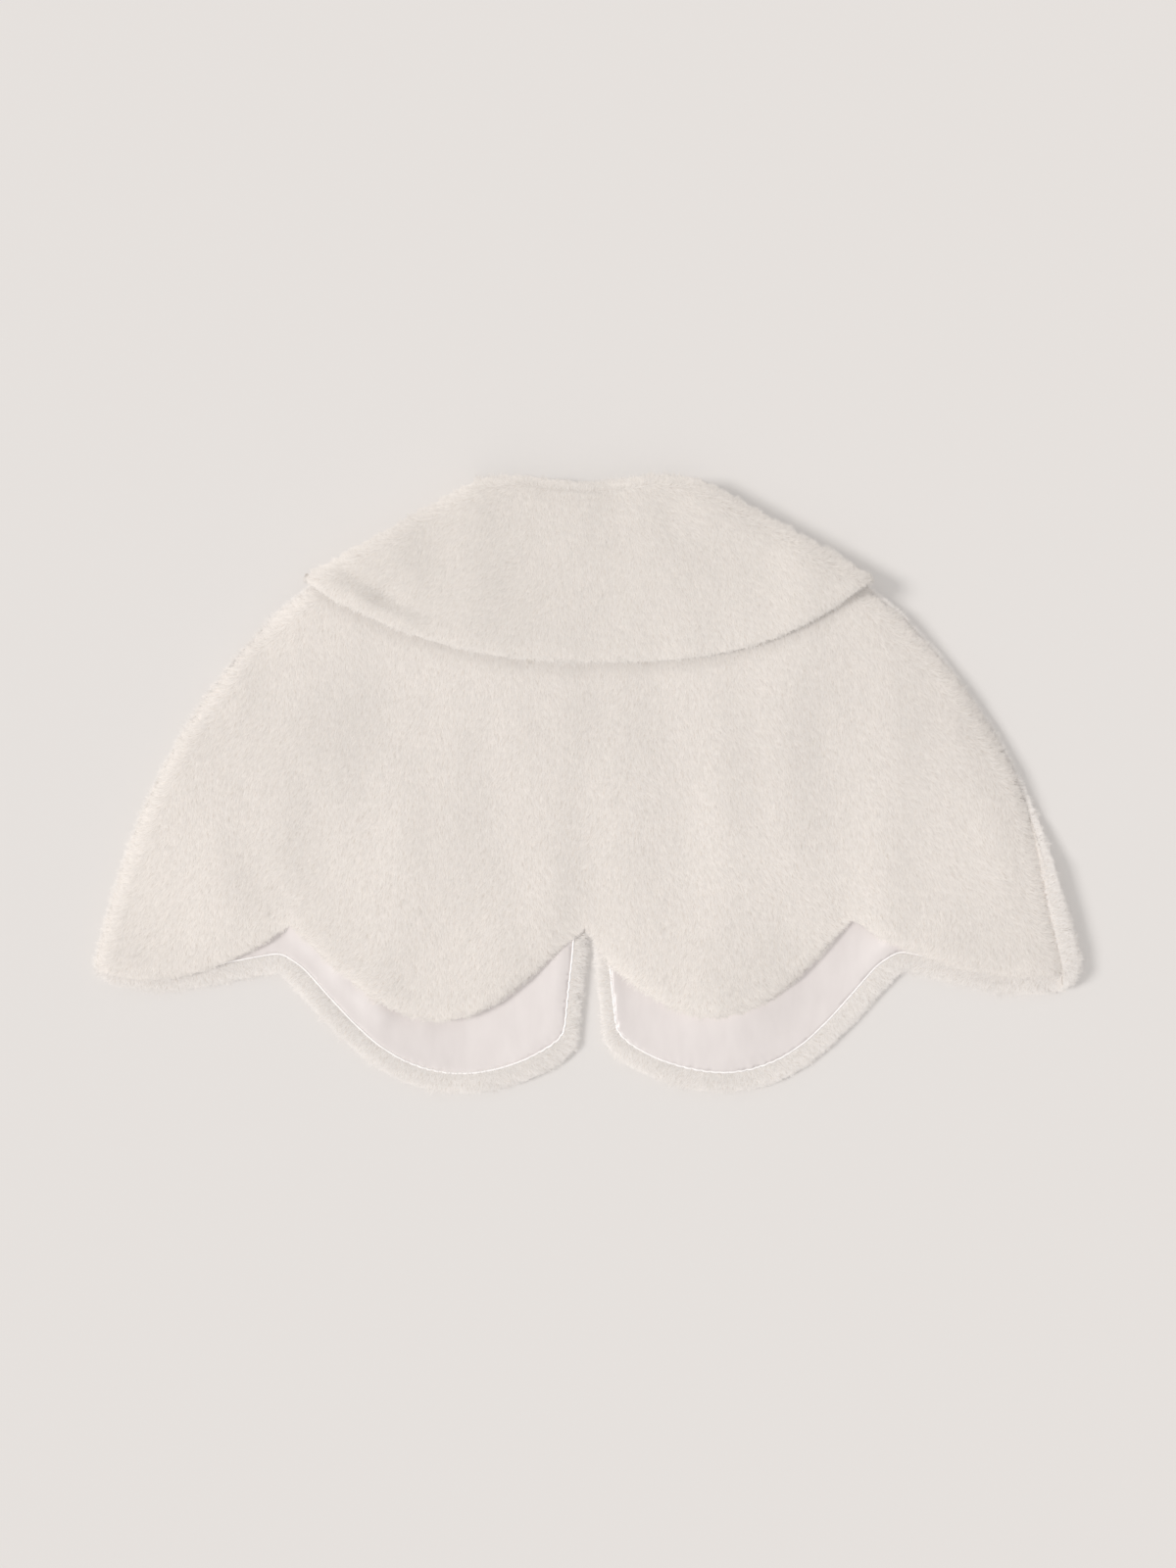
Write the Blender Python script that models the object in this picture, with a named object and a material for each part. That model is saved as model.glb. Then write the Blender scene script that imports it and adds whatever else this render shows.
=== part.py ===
"""A child's cape of cream faux fur with a scalloped hem and a wide round collar.

The cape lies flat with its back up: the collar's front ends lie on the surface, then the fronts with
their lining up, then the back, then the collar's back. X is to the wearer's right, Y to the neck.
"""
import math
from collections import namedtuple

import bmesh
import bpy

MM = 0.001

# Walls of the layers, with their pile, from the surface up.
SEAM_GAP = 0.3 * MM
LAYER_GAP = 0.6 * MM           # between layers that lie on each other unsewn
WING_WALL = 4.0 * MM           # collar under the fronts, pressed flat
FRONT_WALL = 5.5 * MM          # front, pressed under the back
TURNED_WALL = 8.5 * MM         # front where its edge is turned in
LINING_WALL = 1.0 * MM
BACK_WALL = 8.0 * MM
COLLAR_WALL = 8.0 * MM
COLLAR_TURN_WALL = 4.0 * MM    # collar where it bends round a shoulder

# Outline of the body from the neck point along the shoulder to the side's end at the hem.
NECK_POINT = (80.0 * MM, 192.0 * MM)
SHOULDER_TIP = (187.5 * MM, 131.5 * MM)
SIDE_HEM = (328.0 * MM, -118.0 * MM)
SIDE_BULGE = 27.5 * MM
SIDE_BULGE_LEAN = 0.3
BACK_NECK_Y = 189.0 * MM
FRONT_NECK_Y = 138.0 * MM

# Turned edges of the fronts, and the opening between them, which spreads towards the hem.
HEM_TURN = 14.0 * MM
FRONT_TURN = 10.0 * MM
TURN_STEP = 0.6 * MM
OPENING_X = 1.7 * MM
OPENING_HALF = 0.8 * MM
OPENING_SPREAD = 7.5 * MM
OPENING_SPREAD_START_Y = -95.0 * MM
OPENING_SPREAD_LENGTH = 74.0 * MM

# Strip of the right front that comes round the side onto the top, up to the side seam.
SIDE_STRIP_LEAST = 1.5 * MM
SIDE_STRIP = 13.0 * MM
SIDE_STRIP_START_Y = 25.0 * MM
SIDE_STRIP_FULL_Y = -105.0 * MM
SIDE_STRIP_HEIGHT = 15.5 * MM
SEAM_DIP = 0.84                # height of the strip at the seam, as a share of its crest

# Collar: shoulder line, depth at centre back, front ends.
COLLAR_NECK_POINT = (72.0 * MM, 203.0 * MM)
COLLAR_TIP = (190.0 * MM, 136.5 * MM)
COLLAR_NECK_Y = 200.0 * MM
COLLAR_EDGE_Y = 80.0 * MM
COLLAR_EDGE_RISE = 54.0 * MM
COLLAR_EDGE_POWER = {-1: 2.2, 1: 2.9}    # left, right: the right half lies lower
COLLAR_FRONT_NECK_Y = 146.0 * MM
COLLAR_FRONT_X = 3.0 * MM
COLLAR_TURN_TOP = 19.0 * MM    # width of the bend round the shoulder, above and below
COLLAR_TURN_LOW = 8.0 * MM
WING_RUN = (-0.79, -0.613)     # plan direction in from the right shoulder line, under the front
NECK_ROLL = 10.0 * MM
NECK_ROLL_DROP = 8.0 * MM

# The layers over the collar's front ends rise within this distance of the collar's edge.
RISE_CLEAR = 7.0 * MM
RISE_RAMP = 80.0 * MM

# Roundings of the edges.
EDGE_ROUND = 8.5 * MM
FOLD_ROUND = 4.5 * MM
SIDE_ROUND = 6.0 * MM
SEAM_ROUND = 10.0 * MM

# Hems from left to right: each scallop ends at a point, bulges below its chord by depth, leans to its
# start (below 1) or its end (above 1), and each flank is fuller the lower its power is.
Scallop = namedtuple("Scallop", "end_x end_y depth lean start_power end_power")
BACK_HEM_START = (-328.0 * MM, -118.0 * MM)
BACK_HEM = (
    Scallop(-197.3 * MM, -93.6 * MM, 21.5 * MM, 0.80, 0.80, 0.80),
    Scallop(-2.3 * MM, -96.2 * MM, 63.0 * MM, 1.00, 1.00, 1.15),
    Scallop(174.1 * MM, -90.4 * MM, 62.5 * MM, 1.00, 0.75, 1.05),
    Scallop(328.0 * MM, -118.0 * MM, 20.5 * MM, 1.25, 0.80, 0.80),
)
LEFT_HEM_START = (-328.0 * MM, -118.0 * MM)
LEFT_HEM = (
    Scallop(-205.0 * MM, -125.5 * MM, 19.0 * MM, 0.50, 1.00, 1.00),
    Scallop(-6.6 * MM, -170.3 * MM, 56.0 * MM, 1.00, 1.05, 0.65),
)
RIGHT_HEM_START = (10.0 * MM, -166.7 * MM)
RIGHT_HEM = (
    Scallop(208.3 * MM, -124.2 * MM, 58.0 * MM, 1.00, 0.60, 1.10),
    Scallop(328.0 * MM, -118.0 * MM, 22.0 * MM, 2.00, 1.00, 1.00),
)

# Soft folds: troughs (depth below 0) and ridges along a line, with a half width.
Fold = namedtuple("Fold", "start_x start_y end_x end_y width depth")
BACK_FOLDS = (
    Fold(-197 * MM, -96 * MM, -172 * MM, 10 * MM, 17 * MM, -2.6 * MM),
    Fold(-3 * MM, -98 * MM, 2 * MM, 25 * MM, 19 * MM, -2.4 * MM),
    Fold(174 * MM, -92 * MM, 150 * MM, 20 * MM, 17 * MM, -2.6 * MM),
    Fold(-100 * MM, -140 * MM, -88 * MM, -5 * MM, 30 * MM, 1.4 * MM),
    Fold(86 * MM, -138 * MM, 76 * MM, -20 * MM, 30 * MM, 1.3 * MM),
    Fold(-262 * MM, -92 * MM, -226 * MM, 30 * MM, 26 * MM, 1.2 * MM),
    Fold(244 * MM, -88 * MM, 214 * MM, 36 * MM, 24 * MM, 1.1 * MM),
)
COLLAR_FOLDS = (
    Fold(-166 * MM, 149 * MM, -100 * MM, 111 * MM, 9 * MM, -3.8 * MM),
    Fold(-70 * MM, 172 * MM, -84 * MM, 104 * MM, 24 * MM, 0.9 * MM),
    Fold(40 * MM, 176 * MM, 58 * MM, 98 * MM, 26 * MM, 0.8 * MM),
    Fold(100 * MM, 168 * MM, 132 * MM, 118 * MM, 20 * MM, -1.0 * MM),
)

Panel = namedtuple(
    "Panel",
    "left_edge right_edge left_rim right_rim left_slant right_slant neck_y hem_y end_y columns hem_rim rows",
)
Station = namedtuple("Station", "x y left right hem neck")


def smooth_step(value):
    value = min(max(value, 0.0), 1.0)
    return value * value * (3.0 - 2.0 * value)


def rounding(inset, radius):
    """Height share of a quarter-round edge at a distance in from it."""
    rest = 1.0 - min(max(inset / radius, 0.0), 1.0)
    return math.sqrt(1.0 - rest * rest)


def mix(start, end, share):
    return start + (end - start) * share


def fold_relief(folds, x, y):
    """Sum of the soft folds at a plan point."""
    relief = 0.0
    for fold in folds:
        run_x, run_y = fold.end_x - fold.start_x, fold.end_y - fold.start_y
        along = ((x - fold.start_x) * run_x + (y - fold.start_y) * run_y) / (run_x ** 2 + run_y ** 2)
        near = min(max(along, 0.0), 1.0)
        away = math.hypot(x - fold.start_x - run_x * near, y - fold.start_y - run_y * near)
        fade = smooth_step((1.0 - near) * 2.0)
        relief += fold.depth * fade * math.exp(-((away / fold.width) ** 2))
    return relief


def scalloped(start, scallops, x):
    """Hem height at a plan X, from the row of scallops."""
    start_x, start_y = start
    for scallop in scallops:
        if x <= scallop.end_x or scallop is scallops[-1]:
            share = min(max((x - start_x) / (scallop.end_x - start_x), 0.0), 1.0)
            lean = scallop.lean
            leant = share ** lean if lean <= 1.0 else 1.0 - (1.0 - share) ** (1.0 / lean)
            swell = max(math.sin(math.pi * leant), 0.0) ** mix(scallop.start_power, scallop.end_power, share)
            return mix(start_y, scallop.end_y, share) - scallop.depth * swell
        start_x, start_y = scallop.end_x, scallop.end_y


def half_width(y):
    """Half the body's width at a plan Y."""
    y = max(y, SIDE_HEM[1])
    if y >= SHOULDER_TIP[1]:
        share = (NECK_POINT[1] - y) / (NECK_POINT[1] - SHOULDER_TIP[1])
        return mix(NECK_POINT[0], SHOULDER_TIP[0], share)
    share = (SHOULDER_TIP[1] - y) / (SHOULDER_TIP[1] - SIDE_HEM[1])
    bulge = SIDE_BULGE * 4.0 * share * (1.0 - share) * (1.0 + SIDE_BULGE_LEAN * (1.0 - 2.0 * share))
    return mix(SHOULDER_TIP[0], SIDE_HEM[0], share) + bulge


def side_slant(y):
    """Distance to the side for each unit along X, at a plan Y."""
    reach = 10.0 * MM
    return 1.0 / math.hypot(1.0, (half_width(y + reach) - half_width(y - reach)) / (2.0 * reach))


def side_strip(y):
    """Width of the right front's strip on the top, at a plan Y."""
    run = (SIDE_STRIP_START_Y - y) / (SIDE_STRIP_START_Y - SIDE_STRIP_FULL_Y)
    return SIDE_STRIP_LEAST + (SIDE_STRIP - SIDE_STRIP_LEAST) * smooth_step(run)


def collar_edge(x):
    power = COLLAR_EDGE_POWER[1 if x > 0.0 else -1]
    return COLLAR_EDGE_Y + COLLAR_EDGE_RISE * (abs(x) / COLLAR_TIP[0]) ** power


def rise(x, y):
    """How far the layers are lifted by the collar's front ends below them."""
    foot = collar_edge(x) - RISE_CLEAR - RISE_RAMP
    return (WING_WALL + SEAM_GAP) * smooth_step((y - foot) / RISE_RAMP)


def opening_edge(side, y):
    """X of a front's edge at the opening: side is -1 for the left front and 1 for the right."""
    spread_part = max((OPENING_SPREAD_START_Y - y) / OPENING_SPREAD_LENGTH, 0.0)
    return OPENING_X + side * (OPENING_HALF + OPENING_SPREAD * spread_part)


def panel_stations(panel):
    """Plan points of a panel, column by column from its left edge, each from the neck to the hem, with the
    distance in from every edge."""
    left_count, right_count = len(panel.left_rim(0.0)), len(panel.right_rim(0.0))
    count = left_count + len(panel.columns) + right_count

    def inner(y):
        low = panel.left_edge(y) + panel.left_rim(y)[-1] / panel.left_slant(y)
        high = panel.right_edge(y) - panel.right_rim(y)[-1] / panel.right_slant(y)
        return low, high

    def column_x(index, place, y):
        if index < left_count:
            return panel.left_edge(y) + panel.left_rim(y)[index] / panel.left_slant(y)
        if index < left_count + len(panel.columns):
            return mix(*inner(y), place)
        return panel.right_edge(y) - panel.right_rim(y)[count - 1 - index] / panel.right_slant(y)

    stations = []
    for index in range(count):
        place = 0.0
        if left_count <= index < left_count + len(panel.columns):
            hem_x = panel.columns[index - left_count]
            low, high = inner(panel.hem_y(hem_x))
            place = (hem_x - low) / (high - low)
        else:
            hem_x = column_x(index, place, panel.end_y)
        hem_y = panel.hem_y(hem_x)
        neck_left, neck_right = panel.left_edge(NECK_POINT[1]), panel.right_edge(NECK_POINT[1])
        neck_x = column_x(index, place, NECK_POINT[1])
        neck_y = panel.neck_y((neck_x - neck_left) / (neck_right - neck_left))
        step = 1.0 * MM
        slope_before = (hem_y - panel.hem_y(hem_x - step)) / step
        slope_after = (panel.hem_y(hem_x + step) - hem_y) / step
        slope = 0.0 if slope_before * slope_after < 0.0 else 0.5 * (slope_before + slope_after)
        stretch = min(math.hypot(1.0, slope), 1.6)
        length = neck_y - hem_y
        first = 4.0 * MM / length
        last = 1.0 - panel.hem_rim[0] * stretch / length
        shares = [0.0] + [mix(first, last, row / panel.rows) for row in range(panel.rows)]
        shares += [1.0 - inset * stretch / length for inset in panel.hem_rim]
        column = []
        for share in shares:
            y = mix(neck_y, hem_y, share)
            x = column_x(index, place, y)
            left = (x - panel.left_edge(y)) * panel.left_slant(y)
            right = (panel.right_edge(y) - x) * panel.right_slant(y)
            column.append(Station(x, y, left, right, (1.0 - share) * length / stretch, share * length))
        stations.append(column)
    return stations


def grid_place(vertex, columns, rows):
    """Column and row of a vertex of a grid that is still two units wide; row 0 is at the neck."""
    column = round((vertex.co.x + 1.0) / 2.0 * (columns - 1))
    row = round((1.0 - vertex.co.y) / 2.0 * (rows - 1))
    return column, row


def closed_wall(name, lower, upper, material):
    """A closed wall between two grids of points of the same size."""
    columns, rows = len(lower), len(lower[0])
    wall = bmesh.new()
    bmesh.ops.create_grid(wall, x_segments=columns - 1, y_segments=rows - 1, size=1.0)
    under = [(vertex, grid_place(vertex, columns, rows)) for vertex in wall.verts]
    raised = bmesh.ops.extrude_face_region(wall, geom=wall.faces[:], use_keep_orig=True)["geom"]
    over = [
        (vertex, grid_place(vertex, columns, rows))
        for vertex in raised if isinstance(vertex, bmesh.types.BMVert)
    ]
    for vertex, (column, row) in under:
        vertex.co = lower[column][row]
    for vertex, (column, row) in over:
        vertex.co = upper[column][row]
    bmesh.ops.triangulate(wall, faces=wall.faces[:])
    bmesh.ops.recalc_face_normals(wall, faces=wall.faces[:])
    mesh = bpy.data.meshes.new(name)
    wall.to_mesh(mesh)
    wall.free()
    mesh.materials.append(material)
    piece = bpy.data.objects.new(name, mesh)
    cape.objects.link(piece)
    return piece


def spread(start, end, count):
    """Evenly spread values between two ends, without the ends."""
    return [mix(start, end, (step + 1) / (count + 1)) for step in range(count)]


def back_panel(material):
    """The back: it rests on the turned edges of the fronts and rounds down to the side seams."""
    rim = (0.0, 1.2 * MM, 3.6 * MM, 9.0 * MM)
    seam_clear = TURN_STEP + 1.5 * LAYER_GAP
    notches = [scallop.end_x for scallop in BACK_HEM[:-1]]
    columns = spread(-312 * MM, notches[0], 6)
    for start, end in zip(notches, notches[1:]):
        columns += [start] + spread(start, end, 9)
    columns += [notches[-1]] + spread(notches[-1], 298 * MM, 6)
    panel = Panel(
        left_edge=lambda y: -half_width(y) + (SIDE_STRIP_LEAST + seam_clear) / side_slant(y),
        right_edge=lambda y: half_width(y) - (side_strip(y) + seam_clear) / side_slant(y),
        left_rim=lambda y: rim, right_rim=lambda y: rim,
        left_slant=side_slant, right_slant=side_slant,
        neck_y=lambda across: BACK_NECK_Y + (NECK_POINT[1] - BACK_NECK_Y) * (2.0 * across - 1.0) ** 2,
        hem_y=lambda x: scalloped(BACK_HEM_START, BACK_HEM, x), end_y=SIDE_HEM[1],
        columns=columns, hem_rim=(9.0 * MM, 3.6 * MM, 1.2 * MM, 0.0), rows=12,
    )
    seam_level, bed = FRONT_WALL + LAYER_GAP, TURNED_WALL + LAYER_GAP
    lower, upper = [], []
    for column in panel_stations(panel):
        under, over = [], []
        for at in column:
            side = min(at.left, at.right)
            base = rise(at.x, at.y) + mix(seam_level, bed, rounding(side, SEAM_ROUND))
            full = rounding(at.hem, EDGE_ROUND) * rounding(side, EDGE_ROUND) * rounding(at.neck, SIDE_ROUND)
            relief = fold_relief(BACK_FOLDS, at.x, at.y)
            under.append((at.x, at.y, base + 1.0 * MM * (1.0 - rounding(at.hem, FOLD_ROUND))))
            over.append((at.x, at.y, base + BACK_WALL * mix(0.3, 1.0, full) + relief * full))
        lower.append(under)
        upper.append(over)
    return closed_wall("back", lower, upper, material)


def front_grid(side):
    """Lower and upper points of a front, and which columns and rows carry its lining."""
    start, scallops = (LEFT_HEM_START, LEFT_HEM) if side < 0 else (RIGHT_HEM_START, RIGHT_HEM)
    end_y = scallops[-1].end_y if side < 0 else start[1]
    notch = scallops[0].end_x
    opening_rim = (
        0.0, 1.5 * MM, 4.0 * MM, FRONT_TURN, FRONT_TURN + TURN_STEP, FRONT_TURN + TURN_STEP + SEAM_GAP,
    )
    strip_shares = (0.0, 0.12, 0.35, 0.65, 1.0)

    def strip_width(y):
        return side_strip(y) if side > 0 else SIDE_STRIP_LEAST

    def side_rim(y):
        width = strip_width(y)
        return [width * part for part in strip_shares] + [width + TURN_STEP, width + TURN_STEP + 8.0 * MM]

    def outer(y):
        return side * half_width(y)

    def opening(y):
        return opening_edge(side, max(y, end_y))

    def upright(y):
        return 1.0

    def neck_y(across):
        out = across if side > 0 else 1.0 - across
        return mix(FRONT_NECK_Y, NECK_POINT[1], out * out)

    if side < 0:
        columns = spread(-302 * MM, notch, 5) + [notch] + spread(notch, -26 * MM, 10) + [-26 * MM]
    else:
        columns = [30 * MM] + spread(30 * MM, notch, 10) + [notch] + spread(notch, 292 * MM, 5)
    panel = Panel(
        left_edge=outer if side < 0 else opening, right_edge=opening if side < 0 else outer,
        left_rim=side_rim if side < 0 else lambda y: opening_rim,
        right_rim=(lambda y: opening_rim) if side < 0 else side_rim,
        left_slant=side_slant if side < 0 else upright, right_slant=upright if side < 0 else side_slant,
        neck_y=neck_y, hem_y=lambda x: scalloped(start, scallops, x), end_y=end_y, columns=columns,
        hem_rim=(HEM_TURN + TURN_STEP + SEAM_GAP, HEM_TURN + TURN_STEP, HEM_TURN, FOLD_ROUND, 1.5 * MM, 0.0),
        rows=11,
    )
    lower, upper = [], []
    for column in panel_stations(panel):
        under, over = [], []
        for at in column:
            outside, front = (at.left, at.right) if side < 0 else (at.right, at.left)
            width = strip_width(at.y)
            lifted = rise(at.x, at.y)
            fold = min(at.hem, front)
            turned = at.hem < HEM_TURN + 0.5 * TURN_STEP or front < FRONT_TURN + 0.5 * TURN_STEP
            level = FRONT_WALL
            if turned:
                inside = outside - width - TURN_STEP - LAYER_GAP
                level = mix(FRONT_WALL, TURNED_WALL, rounding(inside, SEAM_ROUND))
            swell = mix(0.2, 1.0, rounding(fold, FOLD_ROUND))
            top = 0.5 * level * (1.0 + swell)
            bottom = 0.5 * level * (1.0 - swell)
            raised = smooth_step((width - SIDE_STRIP_LEAST) / (8.0 * MM))
            if outside < width + 0.5 * TURN_STEP:
                across = min(outside / width, 1.0)
                crest = mix(0.2, 1.0, rounding(across, 0.5))
                crest *= mix(1.0, SEAM_DIP, smooth_step((across - 0.55) / 0.45))
                crest *= mix(0.35, 1.0, rounding(at.hem, EDGE_ROUND))
                top = max(top, mix(top, SIDE_STRIP_HEIGHT * crest, raised))
            edge_lift = mix(4.0 * MM, 6.0 * MM, raised) * (1.0 - rounding(outside, SIDE_ROUND))
            bottom = min(max(bottom, edge_lift), top - 1.0 * MM)
            under.append((at.x, at.y, lifted + bottom))
            over.append((at.x, at.y, lifted + top))
        lower.append(under)
        upper.append(over)
    rim = len(strip_shares) + 1
    skip = len(opening_rim) - 1
    lined = range(rim, len(lower) - skip) if side < 0 else range(skip, len(lower) - rim)
    return lower, upper, lined, range(1, len(lower[0]) - 5)


def front_panel(name, grid, material):
    lower, upper, _, _ = grid
    return closed_wall(name, lower, upper, material)


def front_lining(name, grid, material):
    """The lining lies on the front's own points inside the turned edges."""
    _, upper, columns, rows = grid
    lower_points = [[moved_up(upper[column][row], SEAM_GAP) for row in rows] for column in columns]
    upper_points = [[moved_up(point, LINING_WALL) for point in column] for column in lower_points]
    return closed_wall(name, lower_points, upper_points, material)


def moved_up(point, height):
    return (point[0], point[1], point[2] + height)


def collar_panel(material):
    """The collar, from its right front end round the right shoulder, over the back, to its left front end.

    The middle of its wall is worked out first; both faces are that surface moved out along its normals."""
    line_x, line_y = COLLAR_TIP[0] - COLLAR_NECK_POINT[0], COLLAR_TIP[1] - COLLAR_NECK_POINT[1]
    line = math.hypot(line_x, line_y)
    inward = (line_y / line, -line_x / line)
    low_run = WING_RUN
    low_scale = low_run[0] * inward[0] + low_run[1] * inward[1]
    depth = COLLAR_NECK_Y - COLLAR_EDGE_Y
    bed = WING_WALL + SEAM_GAP + TURNED_WALL + LAYER_GAP + BACK_WALL + LAYER_GAP
    top_level = bed + 0.5 * COLLAR_WALL
    low_level = 0.5 * WING_WALL
    roll_angles = [math.radians(angle) for angle in (90, 58, 28, 0)]
    roll_insets = [NECK_ROLL - (NECK_ROLL - 0.5 * COLLAR_WALL) * math.sin(angle) for angle in roll_angles]
    edge_insets = (9.0 * MM, 3.6 * MM, 1.2 * MM, 0.0)
    neck_shares = [inset / depth for inset in roll_insets]
    edge_shares = [1.0 - inset / depth for inset in edge_insets]
    shares = neck_shares + spread(neck_shares[-1], edge_shares[0], 9) + edge_shares

    def shoulder(share):
        return (mix(COLLAR_NECK_POINT[0], COLLAR_TIP[0], share), mix(COLLAR_NECK_POINT[1], COLLAR_TIP[1], share))

    def top_run(share):
        """Plan step for each unit in from the shoulder line, on the back."""
        run_x, run_y = mix(-1.0, -0.8, share), mix(0.0, -0.6, share)
        scale = run_x * inward[0] + run_y * inward[1]
        return run_x / scale, run_y / scale

    def bend_point(share, angle):
        """A point of the bend round the shoulder: from 90 degrees, on the back, to -90, under the front."""
        middle = 0.5 * COLLAR_TURN_WALL
        width = COLLAR_TURN_TOP if angle > 0.0 else COLLAR_TURN_LOW
        inset = width - (width - middle) * math.cos(angle)
        upper_part = 0.5 * (1.0 + math.sin(angle))
        top_x, top_y = top_run(share)
        run_x = mix(low_run[0] / low_scale, top_x, upper_part)
        run_y = mix(low_run[1] / low_scale, top_y, upper_part)
        x, y = shoulder(share)
        centre, reach = 0.5 * (top_level + low_level), 0.5 * (top_level - low_level)
        return x + run_x * inset, y + run_y * inset, centre + reach * math.sin(angle)

    def back_point(share, across, sign):
        end_x, end_y, _ = bend_point(share, math.radians(90.0))
        first_x, first_y, _ = bend_point(0.0, math.radians(90.0))
        last_x, last_y, _ = bend_point(1.0, math.radians(90.0))
        neck_y = mix(COLLAR_NECK_Y, first_y, across ** 2)
        edge_y = collar_edge(sign * across * last_x)
        to_end = end_y - mix(first_y, collar_edge(sign * last_x), share)
        return across * end_x, mix(neck_y, edge_y, share) + to_end * across ** 4, top_level

    def wing_point(share, out):
        start_x, start_y, _ = bend_point(share, math.radians(-90.0))
        end_y = mix(COLLAR_FRONT_NECK_Y, COLLAR_EDGE_Y + 3.0 * MM, share)
        bow = 4.0 * out * (1.0 - out) * mix(18.0 * MM, 12.0 * MM, share)
        return mix(start_x, COLLAR_FRONT_X, out), mix(start_y, end_y, out) - bow, low_level

    # Columns of the right half from the front end to centre back: part, place on it, wall, edge share.
    Column = namedtuple("Column", "part place wall ends")
    half = [Column("wing", 1.0, WING_WALL, 0.35), Column("wing", 0.98, WING_WALL, 0.85)]
    half += [Column("wing", place, WING_WALL, 1.0) for place in (0.86, 0.66, 0.44, 0.22)]
    for degrees in (-90, -60, -30, 0, 25, 48, 70, 90):
        share = max(math.sin(math.radians(degrees)), 0.0)
        half.append(Column("bend", math.radians(degrees), mix(COLLAR_TURN_WALL, COLLAR_WALL, share), 1.0))
    half += [Column("back", place, COLLAR_WALL, 1.0) for place in spread(1.0, 0.0, 11) + [0.0]]
    columns = [(1.0, column) for column in half] + [(-1.0, column) for column in reversed(half[:-1])]

    middle, walls, relief = [], [], []
    for sign, column in columns:
        points, thick, folds = [], [], []
        for share in shares:
            if column.part == "wing":
                x, y, z = wing_point(share, column.place)
                roll_part = 0.0
            elif column.part == "bend":
                x, y, z = bend_point(share, column.place)
                roll_part = max(math.sin(column.place), 0.0) ** 3
            else:
                x, y, z = back_point(share, column.place, sign)
                roll_part = 1.0
            if share in neck_shares:
                angle = roll_angles[neck_shares.index(share)]
                z -= NECK_ROLL_DROP * (1.0 - math.cos(angle)) * roll_part
            edge = rounding((1.0 - share) * depth, EDGE_ROUND)
            near_neck = rounding((share - neck_shares[0]) * depth + 1.0 * MM, 3.0 * MM)
            points.append((sign * x, y, z))
            thick.append(column.wall * column.ends * mix(0.3, 1.0, edge) * mix(0.6, 1.0, near_neck))
            folds.append(fold_relief(COLLAR_FOLDS, sign * x, y) * roll_part * edge)
        middle.append(points)
        walls.append(thick)
        relief.append(folds)
    lower, upper = faces_of_wall(middle, walls, relief)
    return closed_wall("collar", lower, upper, material)


def faces_of_wall(middle, walls, relief):
    """Both faces of a wall from its middle surface; relief is added to the outer face only."""
    sheet = bmesh.new()
    columns, rows = len(middle), len(middle[0])
    bmesh.ops.create_grid(sheet, x_segments=columns - 1, y_segments=rows - 1, size=1.0)
    places = {}
    for vertex in sheet.verts:
        column, row = grid_place(vertex, columns, rows)
        places[(column, row)] = vertex
        vertex.co = middle[column][row]
    sheet.normal_update()
    turn = 1.0 if places[(columns // 2, rows // 2)].normal.z > 0.0 else -1.0
    lower, upper = [], []
    for column in range(columns):
        under, over = [], []
        for row in range(rows):
            vertex = places[(column, row)]
            out = vertex.normal * turn
            half = 0.5 * walls[column][row]
            under.append(vertex.co - out * half)
            over.append(vertex.co + out * (half + relief[column][row]))
        lower.append([point.copy() for point in under])
        upper.append([point.copy() for point in over])
    sheet.free()
    return lower, upper


def cloth(name, colour, roughness):
    material = bpy.data.materials.new(name)
    material.use_nodes = True
    shader = material.node_tree.nodes["Principled BSDF"]
    shader.inputs["Base Color"].default_value = (*colour, 1.0)
    shader.inputs["Roughness"].default_value = roughness
    return material


def set_on_centre(pieces):
    """Moves the cape so that the middle of its outline is at the origin."""
    xs = [vertex.co.x for piece in pieces for vertex in piece.data.vertices]
    ys = [vertex.co.y for piece in pieces for vertex in piece.data.vertices]
    shift_x, shift_y = 0.5 * (min(xs) + max(xs)), 0.5 * (min(ys) + max(ys))
    for piece in pieces:
        for vertex in piece.data.vertices:
            vertex.co.x -= shift_x
            vertex.co.y -= shift_y


for item in list(bpy.data.objects):
    bpy.data.objects.remove(item)
cape = bpy.data.collections.new("fur_cape")
bpy.context.scene.collection.children.link(cape)

back_fur = cloth("back_fur", (0.77, 0.715, 0.66), 0.95)
front_fur = cloth("front_fur", (0.77, 0.72, 0.67), 0.95)
collar_fur = cloth("collar_fur", (0.76, 0.705, 0.65), 0.95)
satin = cloth("satin", (0.82, 0.76, 0.73), 0.4)

left_grid, right_grid = front_grid(-1), front_grid(1)
set_on_centre([
    back_panel(back_fur),
    front_panel("front_left", left_grid, front_fur),
    front_panel("front_right", right_grid, front_fur),
    front_lining("lining_left", left_grid, satin),
    front_lining("lining_right", right_grid, satin),
    collar_panel(collar_fur),
])
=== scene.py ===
"""Looks of a child's cape of cream faux fur with a scalloped hem, lying flat with its back up."""
import math
from collections import namedtuple
from functools import cache

import bmesh
import bpy
import numpy as np
from mathutils import Euler, Matrix, Vector, geometry, kdtree
from mathutils.bvhtree import BVHTree


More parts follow.
